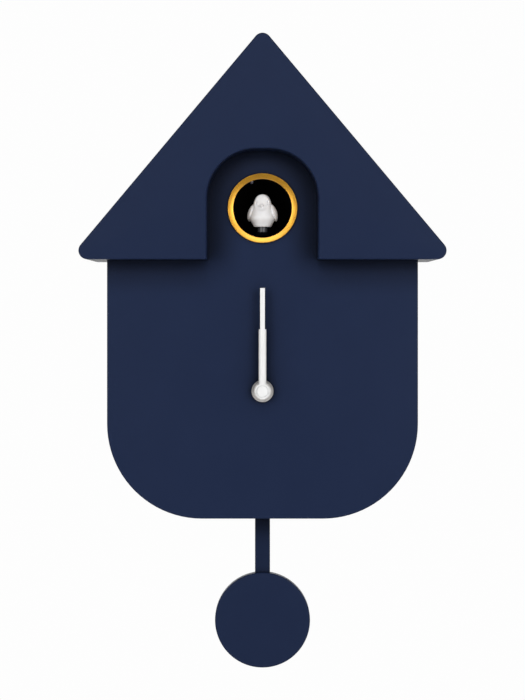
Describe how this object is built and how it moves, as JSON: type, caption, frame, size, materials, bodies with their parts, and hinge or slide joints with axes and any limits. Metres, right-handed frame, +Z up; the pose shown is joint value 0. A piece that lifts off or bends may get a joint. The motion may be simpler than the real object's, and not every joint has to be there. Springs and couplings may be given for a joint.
{
  "type": "cuckoo clock",
  "caption": "Wall-hung quartz cuckoo clock shaped like a gabled house, with baton hands, a bird that slides out of a round window and a swinging disc pendulum.",
  "frame": {"origin": "seat of the hanging screw's shank in the keyhole, on the wall plane at the back of the case", "axes": "+Z up, +X to the right as the clock is read, +Y back into the wall; the face looks along -Y"},
  "size_m": [0.215, 0.085, 0.3772],
  "materials": {
    "case": "soft matte moulding",
    "roof": "soft matte moulding",
    "back": "fine spark texture",
    "rod_navy": "satin moulding",
    "bob_navy": "soft matte moulding",
    "gold_ring": "gold anodised, turned",
    "bird_white": "smooth matte moulding",
    "grey_post": "matte moulding",
    "black_moulding": "matte black moulding",
    "ivory_moulding": "natural moulding",
    "gear_white": "natural acetal",
    "gear_brass": "hobbed brass",
    "steel": "ground",
    "zinc_steel": "zinc plated",
    "dark_steel": "blackened",
    "motor_steel": "zinc plated, drawn",
    "motor_cap": "natural moulding",
    "ferrite": "sintered ferrite",
    "copper_winding": "enamelled copper wire",
    "silicon_steel": "stamped sheet",
    "arbor_steel": "turned",
    "movement_black": "moulded, fine texture",
    "knob_black": "satin moulding",
    "circuit_green": "solder mask",
    "sensor_clear": "clear epoxy",
    "nickel": "nickel plated",
    "washer_rubber": "soft rubber",
    "hand_white": "white powder coat",
    "cell_jacket": "printed steel jacket",
    "cone_paper": "pressed paper",
    "lead_vinyl": "vinyl insulation"
  },
  "bodies": {
    "case": {"front_shell": "case", "roof_cover": "roof", "rear_cover": "back", "hanger_plate": "zinc_steel", "case_screws": "dark_steel", "inner_screws": "zinc_steel", "window_ring": "gold_ring", "bird_tunnel": "black_moulding", "light_sensor": "sensor_clear", "mech_frame": "ivory_moulding", "guide_rods": "steel", "motor_can": "motor_steel", "motor_end_cap": "motor_cap", "motor_magnets": "ferrite", "limit_switches": "black_moulding", "movement_case": "movement_black", "movement_lid": "movement_black", "stepper_stator": "silicon_steel", "stepper_coil": "copper_winding", "movement_board": "circuit_green", "hand_nut": "nickel", "rubber_washer": "washer_rubber", "pendulum_drive_case": "movement_black", "drive_coil": "copper_winding", "pivot_pin": "steel", "battery_box": "back", "battery_cells": "cell_jacket", "battery_contacts": "nickel", "speaker_frame": "motor_steel", "speaker_cone": "cone_paper", "main_board": "circuit_green", "switch_body": "zinc_steel", "leads": "lead_vinyl"},
    "minute": {"minute_arbor": "arbor_steel", "minute_hand": "hand_white", "hand_cap": "hand_white"},
    "hour": {"hour_wheel": "gear_white", "hour_hand": "hand_white"},
    "minute_wheel": {"minute_wheel": "gear_white"},
    "third_wheel": {"third_wheel": "gear_white"},
    "fourth_wheel": {"fourth_wheel": "gear_white"},
    "set_knob": {"set_knob": "knob_black"},
    "pendulum": {"pendulum_lever": "ivory_moulding", "pendulum_magnet": "ferrite", "hook_pin": "steel", "pendulum_rod": "rod_navy", "bob_front": "bob_navy", "bob_back": "bob_navy", "bob_weights": "steel", "bob_screw": "dark_steel"},
    "bird": {"bird_body": "bird_white", "bird_wing_left": "bird_white", "bird_wing_right": "bird_white", "bird_post": "grey_post", "bird_carriage": "black_moulding"},
    "drive_gear": {"drive_gear": "gear_white"},
    "motor_rotor": {"motor_pinion": "gear_brass", "motor_armature": "copper_winding"},
    "battery_door": {"battery_door": "back"},
    "volume_switch": {"switch_slider": "knob_black"}
  },
  "joints": [
    {"name": "minute_turn", "type": "hinge", "parent": "case", "child": "minute", "pos_m": [0, -0.06, -0.1509], "axis": [0, 1, 0], "continuous": true},
    {"name": "hour_turn", "type": "hinge", "parent": "case", "child": "hour", "pos_m": [0, -0.06, -0.1509], "axis": [0, 1, 0], "continuous": true},
    {"name": "minute_wheel_turn", "type": "hinge", "parent": "case", "child": "minute_wheel", "pos_m": [-0.00636, -0.06, -0.14454], "axis": [0, 1, 0], "continuous": true},
    {"name": "third_wheel_turn", "type": "hinge", "parent": "case", "child": "third_wheel", "pos_m": [0.0045, -0.057, -0.15869], "axis": [0, 1, 0], "continuous": true},
    {"name": "fourth_wheel_turn", "type": "hinge", "parent": "case", "child": "fourth_wheel", "pos_m": [-0.00286, -0.055, -0.16294], "axis": [0, 1, 0], "continuous": true},
    {"name": "set_knob_turn", "type": "hinge", "parent": "case", "child": "set_knob", "pos_m": [-0.01273, -0.03, -0.13817], "axis": [0, 1, 0], "continuous": true},
    {"name": "pendulum_swing", "type": "hinge", "parent": "case", "child": "pendulum", "pos_m": [0, -0.0435, -0.1549], "axis": [0, 1, 0], "range_deg": [-8, 8]},
    {"name": "motor_turn", "type": "hinge", "parent": "case", "child": "motor_rotor", "pos_m": [0, -0.033, -0.0863], "axis": [-1, 0, 0], "range_deg": [0, 1680.6]},
    {"name": "drive_gear_turn", "type": "hinge", "parent": "case", "child": "drive_gear", "pos_m": [0, -0.033, -0.0738], "axis": [1, 0, 0], "range_deg": [-2, 424]},
    {"name": "bird_slide", "type": "slide", "parent": "case", "child": "bird", "axis": [0, -1, 0], "range_m": [-0.0001, 0.0221]},
    {"name": "battery_door_lift", "type": "slide", "parent": "case", "child": "battery_door", "axis": [0, 1, 0], "range_m": [0, 0.02]},
    {"name": "volume_slide", "type": "slide", "parent": "case", "child": "volume_switch", "axis": [1, 0, 0], "range_m": [-0.002, 0.002]}
  ],
  "couplings": [
    {"joint": "hour_turn", "follows": "minute_turn", "ratio": 0.083333},
    {"joint": "minute_wheel_turn", "follows": "minute_turn", "ratio": -0.33333},
    {"joint": "third_wheel_turn", "follows": "minute_turn", "ratio": -8},
    {"joint": "fourth_wheel_turn", "follows": "minute_turn", "ratio": 60},
    {"joint": "set_knob_turn", "follows": "minute_turn", "ratio": 1},
    {"joint": "drive_gear_turn", "follows": "motor_turn", "ratio": 0.25},
    {"joint": "bird_slide", "follows": "motor_turn", "m_per_rad": 0.00075}
  ]
}
